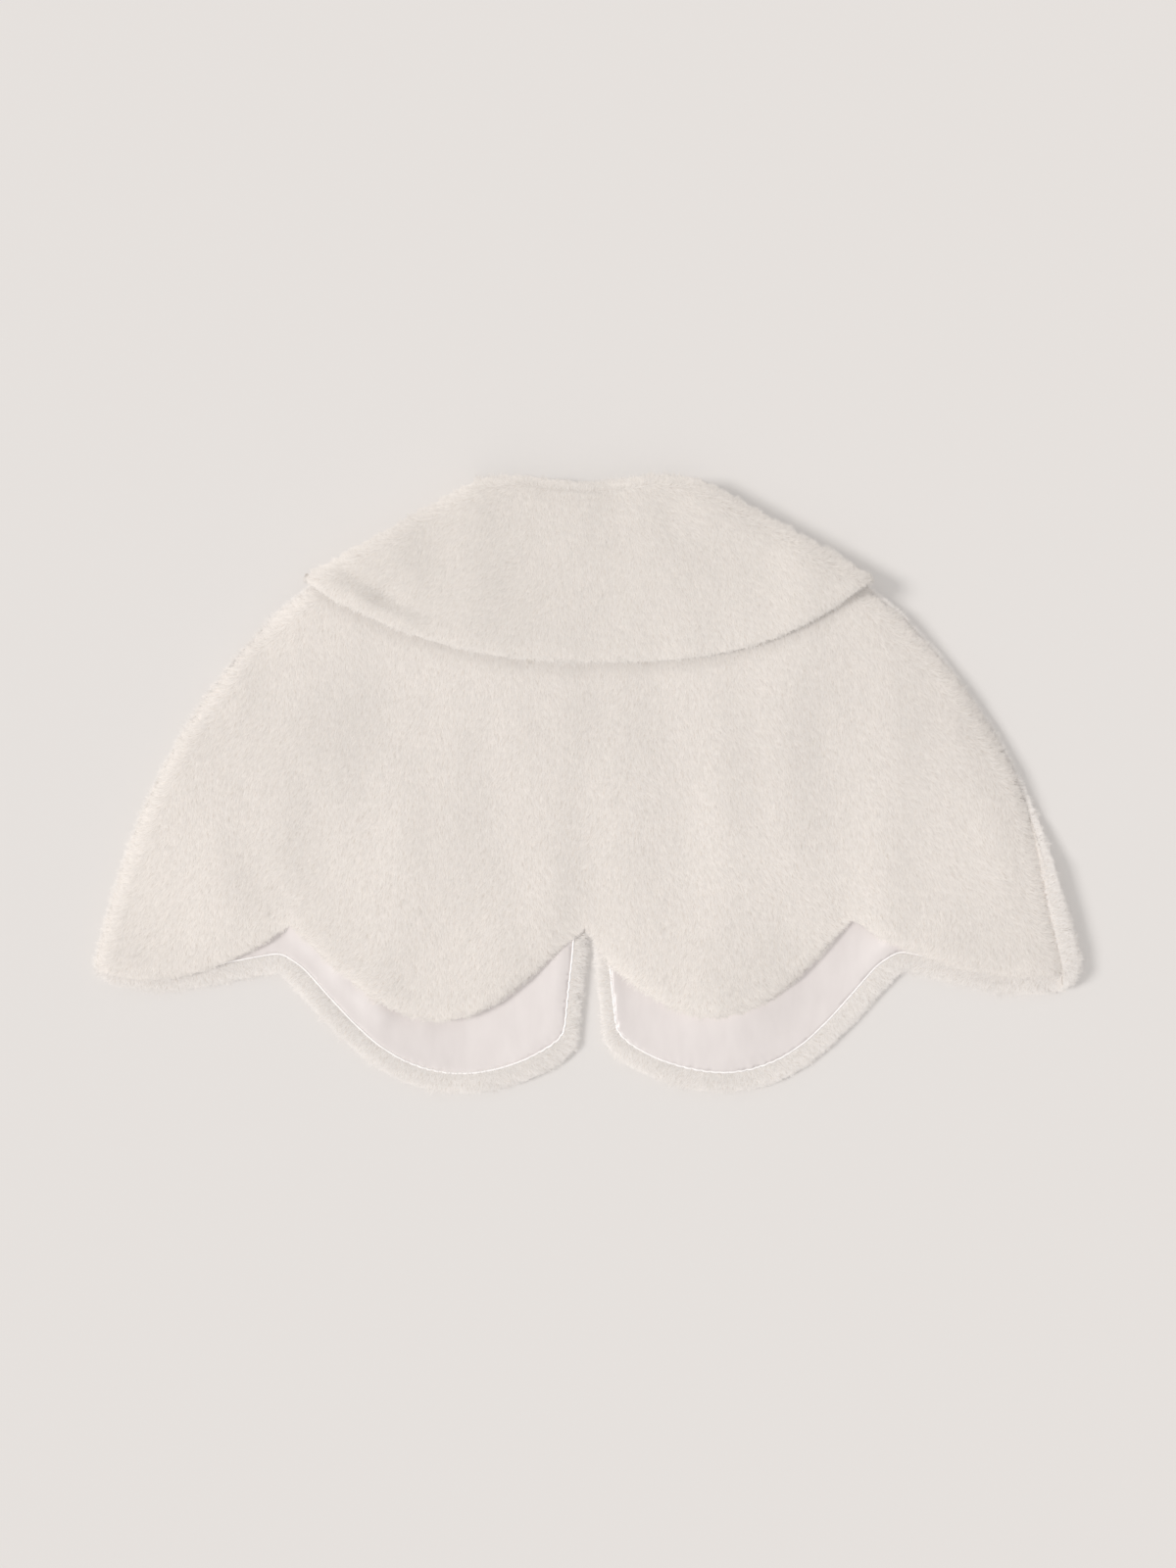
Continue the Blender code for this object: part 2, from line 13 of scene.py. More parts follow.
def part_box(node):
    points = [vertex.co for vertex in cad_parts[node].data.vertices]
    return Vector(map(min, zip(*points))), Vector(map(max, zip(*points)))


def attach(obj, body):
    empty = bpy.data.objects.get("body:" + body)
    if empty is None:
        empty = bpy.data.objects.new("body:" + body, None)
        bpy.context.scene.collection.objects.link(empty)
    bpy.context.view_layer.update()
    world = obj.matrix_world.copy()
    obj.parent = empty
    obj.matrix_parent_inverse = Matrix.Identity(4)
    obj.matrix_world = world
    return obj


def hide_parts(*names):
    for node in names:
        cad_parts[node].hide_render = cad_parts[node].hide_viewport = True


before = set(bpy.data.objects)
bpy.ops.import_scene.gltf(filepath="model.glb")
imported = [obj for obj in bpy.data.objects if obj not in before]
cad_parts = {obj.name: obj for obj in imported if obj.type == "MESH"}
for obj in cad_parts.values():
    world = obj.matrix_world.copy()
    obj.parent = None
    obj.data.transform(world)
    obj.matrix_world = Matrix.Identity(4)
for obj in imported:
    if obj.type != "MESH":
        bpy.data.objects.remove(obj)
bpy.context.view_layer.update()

# Studio: a plain pale floor under a soft light from overhead and a soft lamp at the left, a little towards
# the neck. Only that lamp shows in the satin's gloss. The camera looks straight down through a long lens.
FLOOR_COLOUR = (0.610, 0.581, 0.559)
SKY_STRENGTH = 0.35
VIEW_HEIGHT = 1.040
VIEW_LEVEL = 0.008
VIEW_Y = 0.0007
LENS = 100.0
SENSOR = 36.0
FLOOR_HALF = 6.0


def plain_material(name, colour, roughness):
    """A material of one colour, and its shader for what is added."""
    material = bpy.data.materials.new(name)
    material.use_nodes = True
    shader = material.node_tree.nodes["Principled BSDF"]
    shader.inputs["Base Color"].default_value = (*colour, 1.0)
    shader.inputs["Roughness"].default_value = roughness
    return material, shader


def mesh_piece(name, shape, material):
    """An object at the origin from a finished bmesh."""
    mesh = bpy.data.meshes.new(name)
    shape.to_mesh(mesh)
    shape.free()
    mesh.materials.append(material)
    piece = bpy.data.objects.new(name, mesh)
    bpy.context.scene.collection.objects.link(piece)
    return piece


floor_shape = bmesh.new()
bmesh.ops.create_grid(floor_shape, x_segments=1, y_segments=1, size=FLOOR_HALF)
floor = mesh_piece("floor", floor_shape, plain_material("pale_paper", FLOOR_COLOUR, 0.9)[0])

scene = bpy.context.scene
scene.view_settings.view_transform = "Standard"
scene.cycles.max_bounces = 16
scene.cycles.diffuse_bounces = 12
sky = bpy.data.worlds.new("sky")
sky.use_nodes = True
sky.node_tree.nodes["Background"].inputs["Color"].default_value = (1.0, 1.0, 1.0, 1.0)
sky.node_tree.nodes["Background"].inputs["Strength"].default_value = SKY_STRENGTH
scene.world = sky


def soft_lamp(name, strength, width, height, turn):
    """A far lamp at the left: its width, its height and its turn towards the neck are in degrees."""
    data = bpy.data.lights.new(name, "SUN")
    data.energy = strength
    data.angle = math.radians(width)
    level, up = math.cos(math.radians(height)), math.sin(math.radians(height))
    way = Vector((level * math.cos(math.radians(turn)), -level * math.sin(math.radians(turn)), -up))
    lamp = bpy.data.objects.new(name, data)
    lamp.rotation_euler = way.to_track_quat("-Z", "Y").to_euler()
    scene.collection.objects.link(lamp)
    return lamp


ceiling_light = soft_lamp("ceiling_light", strength=1.84, width=22, height=90, turn=0)
ceiling_light.visible_glossy = False
soft_lamp("window_light", strength=1.94, width=16, height=36, turn=4)

camera_data = bpy.data.cameras.new("camera")
camera_data.lens = LENS
camera_data.sensor_width = SENSOR
camera = bpy.data.objects.new("camera", camera_data)
camera.location = (0.0, VIEW_Y, VIEW_LEVEL + VIEW_HEIGHT * LENS / SENSOR)
scene.collection.objects.link(camera)
scene.camera = camera


# Fronts: two panels of short fur, lining side up, with the fur turned in along the hem and the front
# edge. Their pile is pressed against the surface below and shows only on the turned edges.
MM = 0.001
# Heights of a normal, and its lean against the way out, that tell a panel's top, edge and underside apart.
STEEP = 0.35
UPWARD = 0.2
LEVEL = 0.5
UNDERSIDE = -0.35
INWARD = -0.4
# The backing, and the locks along a panel's edge.
EDGE_BAND = 12.0 * MM
EDGE_TURN = 12.0 * MM
BACKING_DRAW = 1.0 * MM
PILE_MOST = 0.65
RIM_DEPTH = 2.0 * MM
RIM_FRINGE = 4.2 * MM
RIM_TUFTS = 0.7
RIM_TUFT_SIZE = 7 * MM
RIM_REACH = 0.45
RIM_DROOP = -0.25
RIM_CLOSER = 1.8
FRINGE_POWER = 1.5
FRINGE_BACK = 0.25
# The locks everywhere: their number, and their size, bend and lie, mostly as shares of the fur's own sizes.
LOCKS_PER_SQUARE_MM = 1.86
HEIGHT_SPREAD = (0.78, 1.06)
REACH_SPREAD = (0.7, 1.15)
WIDTH_SPREAD = (0.7, 1.3)
GUARD_SHARE = 0.06
GUARD_LENGTH = 1.2
GUARD_WIDTH = 0.6
BEND_HEIGHT = 0.66
BEND_REACH = 0.40
ROLL_MOST = 0.9
SWIRLS = ((0.30, 60 * MM, 80 * MM), (0.22, 17 * MM, 23 * MM))
TUFT_STRAY = 0.35
SINK_MOST = 3.0 * MM
FLOOR_CLEAR = 0.3 * MM
TURN_START = 5.0 * MM
TURN_SPAN = 6.0 * MM
# What a lock's shading normal and its tone, from dark to pale, are put together from.
SHADE_NORMAL = 0.55
SHADE_BLADE = 0.15
SHADE_RIM = 0.8
TONE_MIDDLE = 0.45
TONE_CLOUDS = 0.14
TONE_PATCH = (30 * MM, 120 * MM)
TONE_TUFT = 0.15
# Painted light: locks near an edge are toned paler, for the light their fringe catches.
TONE_EDGE_PAINTED_LIGHT = 0.22
# The back's pile is toned darker beside the collar's edge as painted shade, and paler or darker in patches as
# painted light.
TONE_PAINTED_SHADE = 0.55
TONE_LOCK = 0.12
TONE_LIMITS = (0.03, 0.97)
# A fur: the pile's depth, a lock's reach and width, the size and pull of its tufts, how far its locks stray,
# and how evenly it takes the light.
Fur = namedtuple("Fur", "pile reach width clump_size clump_pull stray soft")
FRONT_FUR = Fur(2.4 * MM, 5.5 * MM, 0.46 * MM, 2.2 * MM, 0.20, 0.35, 1.0)
FRONT_TIP = (0.695, 0.660, 0.632)
FUR_ROOT = (0.50, 0.455, 0.415)
FUR_TIP = (0.70, 0.658, 0.621)
FUR_DIM = 0.80
BACKING_DARK = (0.52, 0.48, 0.44)
BACKING_LIGHT = (0.60, 0.56, 0.52)
chance = np.random.default_rng(7)


def merged_copy(node):
    """A node's closed solid as a bmesh of its own."""
    cloth = bmesh.new()
    cloth.from_mesh(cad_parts[node].data)
    bmesh.ops.remove_doubles(cloth, verts=cloth.verts[:], dist=0.01 * MM)
    cloth.normal_update()
    return cloth


def plan_tree(points):
    """A search tree over the plan of points."""
    tree = kdtree.KDTree(len(points))
    for index, point in enumerate(points):
        tree.insert((point.x, point.y, 0.0), index)
    tree.balance()
    return tree


@cache
def panel_rim(node):
    """The ways out of a panel at its steep outer edge, where nothing of it lies above, and a search tree."""
    cloth = merged_copy(node)
    bmesh.ops.subdivide_edges(cloth, edges=cloth.edges[:], cuts=3, use_grid_fill=True)
    cloth.normal_update()
    wall = BVHTree.FromBMesh(cloth)
    low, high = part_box(node)
    centre = 0.5 * (low + high)
    points, ways = [], []
    for vertex in cloth.verts:
        way = Vector((vertex.normal.x, vertex.normal.y, 0.0)).normalized()
        steep = any(abs(face.normal.z) < STEEP for face in vertex.link_faces)
        if not steep or way.dot(vertex.co - centre) <= 0.0:
            continue
        if wall.ray_cast(vertex.co + way * 0.3 * MM, Vector((0.0, 0.0, 1.0)))[0] is None:
            points.append(vertex.co.copy())
            ways.append(way)
    cloth.free()
    return plan_tree(points), ways


def fur_backing(name, node, fur, relief, overhang, material):
    """The knitted backing of a fur panel: its solid, thinned by the pile on top and drawn in at the edges."""
    cloth = merged_copy(node)
    wall = BVHTree.FromBMesh(cloth)
    tree, ways = panel_rim(node)
    down = Vector((0.0, 0.0, -1.0))
    moves = []
    for vertex in cloth.verts:
        _, index, away = tree.find((vertex.co.x, vertex.co.y, 0.0))
        way = ways[index]
        reach = overhang(np.array([vertex.co]), np.array([way]))[0] - BACKING_DRAW
        move = way * float(reach) * max(1.0 - away / EDGE_BAND, 0.0)
        if vertex.normal.z > UPWARD:
            thickness = wall.ray_cast(vertex.co + down * 0.1 * MM, down)[3] or 1.0 * MM
            move += down * min(fur.pile, PILE_MOST * thickness)
        moves.append(move)
    for vertex, move in zip(cloth.verts, moves):
        vertex.co += move
    bmesh.ops.subdivide_edges(cloth, edges=cloth.edges[:], cuts=1, use_grid_fill=True)
    tops = [v for v in cloth.verts if v.normal.z > UPWARD]
    lifts = relief(np.array([v.co for v in tops]))
    for vertex, lift in zip(tops, lifts):
        vertex.co.z += min(lift, 0.0)
    for face in cloth.faces:
        face.smooth = True
    return mesh_piece(name, cloth, material)


solid_trees = [BVHTree.FromBMesh(merged_copy(node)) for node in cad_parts]
LOOK_LEVEL = 0.82
LOOK_UP = 0.57
LOOKS = [Vector((0.0, 0.0, 1.0))] + [
    Vector((math.cos(turn) * LOOK_LEVEL, math.sin(turn) * LOOK_LEVEL, LOOK_UP))
    for turn in (math.radians(45 * step) for step in range(8))
]
GRAZING = 0.05


def open_to_view(point, normal):
    """True where the cloth can be seen from above or from a side."""
    start = point + normal * 0.2 * MM
    for look in LOOKS:
        if look.dot(normal) < GRAZING:
            continue
        if all(tree.ray_cast(start, look)[0] is None for tree in solid_trees):
            return True
    return False


def seen_patches(node):
    """Corners of the node's faces that show, cut small: plan, height and normal of each corner."""
    cloth = merged_copy(node)
    bmesh.ops.triangulate(cloth, faces=cloth.faces[:])
    cloth.normal_update()
    corners = np.array([[(*v.co, *v.normal) for v in face.verts] for face in cloth.faces])
    cloth.free()
    for _ in range(2):
        a, b, c = corners[:, 0], corners[:, 1], corners[:, 2]
        ab, bc, ca = 0.5 * (a + b), 0.5 * (b + c), 0.5 * (c + a)
        corners = np.concatenate([
            np.stack(three, axis=1) for three in ((a, ab, ca), (ab, b, bc), (ca, bc, c), (ab, bc, ca))
        ])
    tree, ways = panel_rim(node)
    seen = []
    for middle in corners.mean(axis=1):
        normal = Vector(middle[3:]).normalized()
        way = ways[tree.find((middle[0], middle[1], 0.0))[1]]
        carries_pile = normal.z > LEVEL or (normal.z > UNDERSIDE and normal.dot(way) > INWARD)
        seen.append(carries_pile and open_to_view(Vector(middle[:3]), normal))
    return corners[np.array(seen)]


def unit(vectors):
    """The vectors, each of length 1."""
    return vectors / np.maximum(np.linalg.norm(vectors, axis=1, keepdims=True), 1e-9)


def clouds(points, across, along, count=14):
    """Soft uneven value from -1 to 1 over the plan, with patches of the given sizes."""
    waves = np.random.default_rng(int(across * 1e6)).uniform(-1.0, 1.0, (count, 3))
    total = np.zeros(len(points))
    for wave_x, wave_y, start in waves:
        turns = points[:, 0] * wave_x / across + points[:, 1] * wave_y / along
        total += np.sin(math.tau * turns + start * math.pi)
    return total / math.sqrt(count / 2.0) / 2.0


def scattered(patches):
    """Chance points on the patches, closer where the cloth is steep, and the normals there."""
    sides = patches[:, 1:, :3] - patches[:, :1, :3]
    areas = 0.5 * np.linalg.norm(np.cross(sides[:, 0], sides[:, 1]), axis=1)
    areas *= 1.0 + RIM_CLOSER * (1.0 - np.clip(patches[:, :, 5].mean(axis=1), 0.0, 1.0))
    count = int(areas.sum() / (MM * MM) * LOCKS_PER_SQUARE_MM)
    places = (np.arange(count) + chance.random(count)) / count
    chosen = patches[np.searchsorted(np.cumsum(areas) / areas.sum(), places)]
    share_b, share_c = chance.random((2, count))
    over = share_b + share_c > 1.0
    share_b, share_c = np.where(over, 1.0 - share_b, share_b), np.where(over, 1.0 - share_c, share_c)
    shares = np.stack([1.0 - share_b - share_c, share_b, share_c], axis=1)[:, :, None]
    blended = (chosen * shares).sum(axis=1)
    return blended[:, :3], unit(blended[:, 3:])


def on_relief(skin, normal, relief):
    """The points moved up by the relief where the cloth lies flat, and the normals tilted with it."""
    step = 1.0 * MM
    lift = relief(skin)
    slope_x = (relief(skin + (step, 0.0, 0.0)) - lift) / step
    slope_y = (relief(skin + (0.0, step, 0.0)) - lift) / step
    flatness = np.clip(normal[:, 2], 0.0, 1.0)
    moved = skin.copy()
    moved[:, 2] += lift * flatness
    tilt = np.stack([slope_x, slope_y, np.zeros(len(skin))], axis=1)
    return moved, unit(normal - tilt * flatness[:, None])


def lie_of_locks(skin, normal, node, nap, stray):
    """The way each lock lies: the nap, turned out near an edge, then by soft swirls and a little by chance;
    how near the edge it is, from 0 to 1; and the way out to that edge."""
    tree, ways = panel_rim(node)
    found = [tree.find((x, y, 0.0)) for x, y, _ in skin]
    outward = np.array([ways[index] for _, index, _ in found])
    near = np.clip(1.0 - np.array([away for _, _, away in found]) / EDGE_TURN, 0.0, 1.0)[:, None]
    lie = unit(nap(skin) * (1.0 - near) + outward * near)
    turn = sum(size * clouds(skin, across, along) for size, across, along in SWIRLS)
    turn += stray * chance.normal(size=len(skin))
    cosine, sine = np.cos(turn), np.sin(turn)
    lie = np.stack([
        lie[:, 0] * cosine - lie[:, 1] * sine,
        lie[:, 0] * sine + lie[:, 1] * cosine,
        lie[:, 2],
    ], axis=1)
    return lie - normal * (lie * normal).sum(axis=1, keepdims=True), near[:, 0], outward


def fur_pile(name, node, fur, nap, relief, overhang, painted_shade, material, parts):
    """Locks of a fur panel as joined meshes: each lock is a narrow bent blade from the backing to the
    solid's surface, laid along the nap, with its tip drawn to a tuft. At an edge the locks stand out."""
    skin, normal = on_relief(*scattered(seen_patches(node)), relief)
    count = len(skin)
    flatness = np.clip(normal[:, 2], 0.0, 1.0)
    rim = 1.0 - flatness
    lie, near_edge, outward = lie_of_locks(skin, normal, node, nap, fur.stray)
    lie += np.array((0.0, 0.0, RIM_DROOP)) * rim[:, None]

    guard = chance.random(count) < GUARD_SHARE
    depth = fur.pile + RIM_DEPTH * rim
    height = depth * chance.uniform(*HEIGHT_SPREAD, count)
    fringe = RIM_FRINGE * (chance.random(count) ** FRINGE_POWER - FRINGE_BACK)
    fringe *= 1.0 + RIM_TUFTS * clouds(skin, RIM_TUFT_SIZE, RIM_TUFT_SIZE)
    height += rim * (fringe + overhang(skin, normal))
    height *= np.where(guard, GUARD_LENGTH, 1.0)
    reach = fur.reach * chance.uniform(*REACH_SPREAD, count) * (RIM_REACH + (1.0 - RIM_REACH) * flatness)
    reach *= np.where(guard, GUARD_LENGTH, 1.0)
    root = skin - normal * depth[:, None] - lie * (0.5 * reach * flatness)[:, None]
    middle = root + normal * (BEND_HEIGHT * height)[:, None] + lie * (BEND_REACH * reach)[:, None]
    tip = root + normal * height[:, None] + lie * reach[:, None]
    cell = np.floor(tip[:, :2] / fur.clump_size)
    jitter = np.stack([
        np.modf(np.sin(cell @ np.array(pair)) * 43758.5453)[0] for pair in ((12.99, 78.23), (39.35, 11.14))
    ], axis=1)
    tuft = (cell + 0.5 + TUFT_STRAY * jitter) * fur.clump_size
    tip[:, :2] += (tuft - tip[:, :2]) * fur.clump_pull
    lowest = np.maximum(skin[:, 2] - SINK_MOST, FLOOR_CLEAR)
    tip[:, 2] = np.maximum(tip[:, 2], lowest)
    middle[:, 2] = np.maximum(middle[:, 2], lowest)

    run = unit(tip - root)
    across = unit(np.cross(run, normal))
    roll = chance.uniform(-ROLL_MOST, ROLL_MOST, count)[:, None]
    across = unit(across * np.cos(roll) + np.cross(run, across) * np.sin(roll))
    width = fur.width * chance.uniform(*WIDTH_SPREAD, count) * np.where(guard, GUARD_WIDTH, 1.0)
    half = 0.5 * width[:, None]
    points = np.stack([root, middle - across * half, middle + across * half, tip], axis=1)
    face = np.cross(points[:, 1] - points[:, 0], points[:, 2] - points[:, 0])
    aim = normal + rim[:, None] * (0.0, 0.0, 2.0)
    away = (face * aim).sum(axis=1) < 0.0
    points[away] = points[away][:, (0, 2, 1, 3)]
    face = unit(np.where(away[:, None], -face, face))
    inward = np.minimum((normal * outward).sum(axis=1, keepdims=True), 0.0)
    inward *= np.minimum(2.5 * near_edge, 1.0)[:, None]
    levelled = normal - outward * inward
    upward = (fur.soft + SHADE_RIM * rim)[:, None] * (0.0, 0.0, 1.0)
    shading = unit(SHADE_NORMAL * levelled + SHADE_BLADE * face + upward)

    tone = TONE_MIDDLE + TONE_CLOUDS * clouds(skin, *TONE_PATCH) + TONE_TUFT * jitter[:, 0]
    # Painted light and shade in the tone: paler near an edge, and darker or paler where the back's pile is
    # given painted shade or light.
    tone += TONE_EDGE_PAINTED_LIGHT * near_edge - TONE_PAINTED_SHADE * painted_shade(skin)
    tone = np.clip(tone + TONE_LOCK * chance.normal(size=count), *TONE_LIMITS)
    piles = []
    order = np.argsort(skin[:, 0], kind="stable")
    for part, members in enumerate(np.array_split(order, parts)):
        pile_name = name if parts == 1 else f"{name}_{part + 1}"
        piles.append(blades(pile_name, points[members], shading[members], tone[members], material))
        piles[-1].visible_shadow = False
    return piles


def blades(name, points, shading, tone, material):
    """One mesh of blades, two triangles each. Its map holds each blade's tone across and its length up."""
    count = len(points)
    first = np.arange(count)[:, None] * 4
    faces = np.concatenate([first + (0, 1, 2), first + (1, 3, 2)], axis=1).reshape(-1, 3)
    mesh = bpy.data.meshes.new(name)
    mesh.vertices.add(count * 4)
    mesh.vertices.foreach_set("co", points.astype(np.float32).ravel())
    mesh.loops.add(count * 6)
    mesh.loops.foreach_set("vertex_index", faces.astype(np.int32).ravel())
    mesh.polygons.add(count * 2)
    mesh.polygons.foreach_set("loop_start", np.arange(0, count * 6, 3, dtype=np.int32))
    mesh.update(calc_edges=True)
    half_tone = 0.02
    low, middle, high = np.full(count, 0.02), np.full(count, 0.55), np.full(count, 0.98)
    corners = ((tone, low), (tone - half_tone, middle), (tone + half_tone, middle), (tone, high))
    places = np.stack([np.stack(corner, axis=1) for corner in corners], axis=1).reshape(-1, 2)
    mesh.uv_layers.new(name="OFBake")
    mesh.uv_layers["OFBake"].uv.foreach_set("vector", places[faces.ravel()].astype(np.float32).ravel())
    mesh.shade_smooth()
    mesh.normals_split_custom_set_from_vertices(np.repeat(shading, 4, axis=0))
    mesh.materials.append(material)
    piece = bpy.data.objects.new(name, mesh)
    scene.collection.objects.link(piece)
    return piece


def fur_material(name, root, tip, dim):
    """Fur that is dimmer and warmer at the root than at the tip, each lock with its own tone."""
    material, shader = plain_material(name, tip, 0.85)
    nodes, links = material.node_tree.nodes, material.node_tree.links
    place = nodes.new("ShaderNodeUVMap")
    place.uv_map = "OFBake"
    parts = nodes.new("ShaderNodeSeparateXYZ")
    links.new(place.outputs["UV"], parts.inputs["Vector"])
    length = nodes.new("ShaderNodeValToRGB")
    length.color_ramp.elements[0].color = (*root, 1.0)
    length.color_ramp.elements[1].color = (*tip, 1.0)
    length.color_ramp.elements[1].position = 0.75
    links.new(parts.outputs["Y"], length.inputs["Fac"])
    tone = nodes.new("ShaderNodeValToRGB")
    tone.color_ramp.elements[0].color = (dim, dim, dim, 1.0)
    tone.color_ramp.elements[1].color = (1.0, 1.0, 1.0, 1.0)
    links.new(parts.outputs["X"], tone.inputs["Fac"])
    toned = nodes.new("ShaderNodeMix")
    toned.data_type = "RGBA"
    toned.blend_type = "MULTIPLY"
    toned.inputs["Factor"].default_value = 1.0
    links.new(length.outputs["Color"], toned.inputs["A"])
    links.new(tone.outputs["Color"], toned.inputs["B"])
    links.new(toned.outputs["Result"], shader.inputs["Base Color"])
    shader.inputs["Specular IOR Level"].default_value = 0.2
    shader.inputs["Sheen Weight"].default_value = 0.15
    return material


def mottled_material(name, dark, light, roughness, grain, streak, depth):
    """Cloth with fine uneven grain in colour and height; the grain is drawn out along Y by the streak."""
    material, shader = plain_material(name, light, roughness)
    nodes, links = material.node_tree.nodes, material.node_tree.links
    place = nodes.new("ShaderNodeTexCoord")
    stretch = nodes.new("ShaderNodeMapping")
    stretch.inputs["Scale"].default_value = (1.0, 1.0 / streak, 1.0)
    links.new(place.outputs["Object"], stretch.inputs["Vector"])
    noise = nodes.new("ShaderNodeTexNoise")
    noise.inputs["Scale"].default_value = 1.0 / grain
    noise.inputs["Detail"].default_value = 3.0
    links.new(stretch.outputs["Vector"], noise.inputs["Vector"])
    ramp = nodes.new("ShaderNodeValToRGB")
    ramp.color_ramp.elements[0].color = (*dark, 1.0)
    ramp.color_ramp.elements[0].position = 0.3
    ramp.color_ramp.elements[1].color = (*light, 1.0)
    ramp.color_ramp.elements[1].position = 0.7
    links.new(noise.outputs["Fac"], ramp.inputs["Fac"])
    links.new(ramp.outputs["Color"], shader.inputs["Base Color"])
    bump = nodes.new("ShaderNodeBump")
    bump.inputs["Strength"].default_value = 0.5
    bump.inputs["Distance"].default_value = depth
    links.new(noise.outputs["Fac"], bump.inputs["Height"])
    links.new(bump.outputs["Normal"], shader.inputs["Normal"])
    return material, shader


def flat_lie(points):
    """Nothing at each point: no relief, or no painted shade."""
    return np.zeros(len(points))


def even_edge(points, normal):
    """No overhang at any edge."""
    return np.zeros(len(points))


def nap_to_edge(node):
    """Nap that runs straight out to the panel's nearest edge, and more and more inward at the seam."""
    tree, ways = panel_rim(node)

    def nap(points):
        found = [tree.find((x, y, 0.0)) for x, y, _ in points]
        outward = np.array([ways[index] for _, index, _ in found])
        depth = np.array([away for _, _, away in found])
        inward = chance.random(len(points)) < (depth - TURN_START) / TURN_SPAN
        return np.where(inward[:, None], -outward, outward)
    return nap


front_fur = fur_material("front_fur_pile", FUR_ROOT, FRONT_TIP, FUR_DIM)
pressed_fur, _ = mottled_material(
    "pressed_fur", BACKING_DARK, BACKING_LIGHT, roughness=0.9, grain=2.5 * MM, streak=2.0, depth=0.6 * MM,
)
for side in ("left", "right"):
    node = f"front_{side}"
    panel = fur_backing(f"front_{side}_cloth", node, FRONT_FUR, flat_lie, even_edge, pressed_fur)
    piles = fur_pile(
        f"front_{side}_pile", node, FRONT_FUR, nap_to_edge(node), flat_lie, even_edge, flat_lie, front_fur, 1,
    )
    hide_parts(node)
    for piece in [panel, *piles]:
        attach(piece, "root")


# Front linings: ivory satin cut to the turned edges of the fronts. The edge is folded under and felled to
# the fur by hand with small slanting stitches, which draw it into shallow puckers.
SATIN_WALL = 0.4 * MM
SATIN_IOR = 2.0
SATIN_DARK = (0.620, 0.566, 0.545)
SATIN_LIGHT = (0.656, 0.601, 0.579)
# The folded edge is coloured much paler than the satin: a painted highlight along the roll.
HIGHLIGHT_EDGE_DARK = (0.78, 0.745, 0.725)
HIGHLIGHT_EDGE_LIGHT = (0.86, 0.825, 0.805)
SHOWN_Y = -60.0 * MM
SHOWN_FADE = 20.0 * MM
SEAM_START = 12.0 * MM
SIDE_CLEAR = 30.0 * MM
SIDE_HEM_Y = -112.0 * MM
SIDE_X = 230.0 * MM
EDGE_STEP = 1.5 * MM
EDGE_ROUNDS = 16
SHOWN_STEP = 2.0 * MM
HIDDEN_STEP = 8.0 * MM
SEAM_LAP = 1.6 * MM
SEAM_CLIMB = 0.9 * MM
CLIMB_SPREAD = 9.0 * MM
SEAM_SHARE = 0.4
CREASE_FADE = 8.0 * MM
EDGE_ROLL = 0.7 * MM
STITCH_STEP = 6.0 * MM
PUCKER = 0.6 * MM
PUCKER_LEAST = 0.12
PUCKER_REACH = 20.0 * MM
PUCKER_FADE = 3.0 * MM
PUCKERED = {
    "left": ((-104 * MM, -188 * MM), (-16 * MM, -140 * MM), (-24 * MM, -172 * MM)),
    "right": ((110 * MM, -184 * MM), (68 * MM, -188 * MM), (20 * MM, -166 * MM)),
}
THREAD_HALF = 0.17 * MM
STITCH_HALF = 1.3 * MM
STITCH_OUT = 0.2 * MM
STITCH_UP = 0.45 * MM
STITCH_SLANT = 32
STITCH_STRAY = 14
STITCH_DIP = -14
Crease = namedtuple("Crease", "start end width height")
LINING_CREASES = {
    "left": (
        Crease((-196 * MM, -84 * MM), (-160 * MM, -124 * MM), 9 * MM, 5.2 * MM),
        Crease((-158 * MM, -122 * MM), (-136 * MM, -152 * MM), 8 * MM, 4.6 * MM),
        Crease((-86 * MM, -130 * MM), (-82 * MM, -182 * MM), 28 * MM, -2.6 * MM),
        Crease((-8 * MM, -115 * MM), (-12 * MM, -172 * MM), 28 * MM, 2.8 * MM),
    ),
    "right": (
        Crease((208 * MM, -98 * MM), (194 * MM, -130 * MM), 13 * MM, 3.6 * MM),
        Crease((100 * MM, -135 * MM), (98 * MM, -182 * MM), 34 * MM, 4.2 * MM),
        Crease((24 * MM, -120 * MM), (30 * MM, -160 * MM), 14 * MM, -1.0 * MM),
    ),
}


def creased(creases):
    """Height of soft ridges and troughs at plan points; each gets lower along its line."""
    def relief(points):
        total = np.zeros(len(points))
        for crease in creases:
            start, run = np.array(crease.start), np.subtract(crease.end, crease.start)
            along = np.clip((points[:, :2] - start) @ run / (run @ run), 0.0, 1.0)
            away = np.linalg.norm(points[:, :2] - start - along[:, None] * run, axis=1)
            fade = 1.0 - 0.5 * along * along
            total += crease.height * fade * np.exp(-((away / crease.width) ** 2))
        return total
    return relief


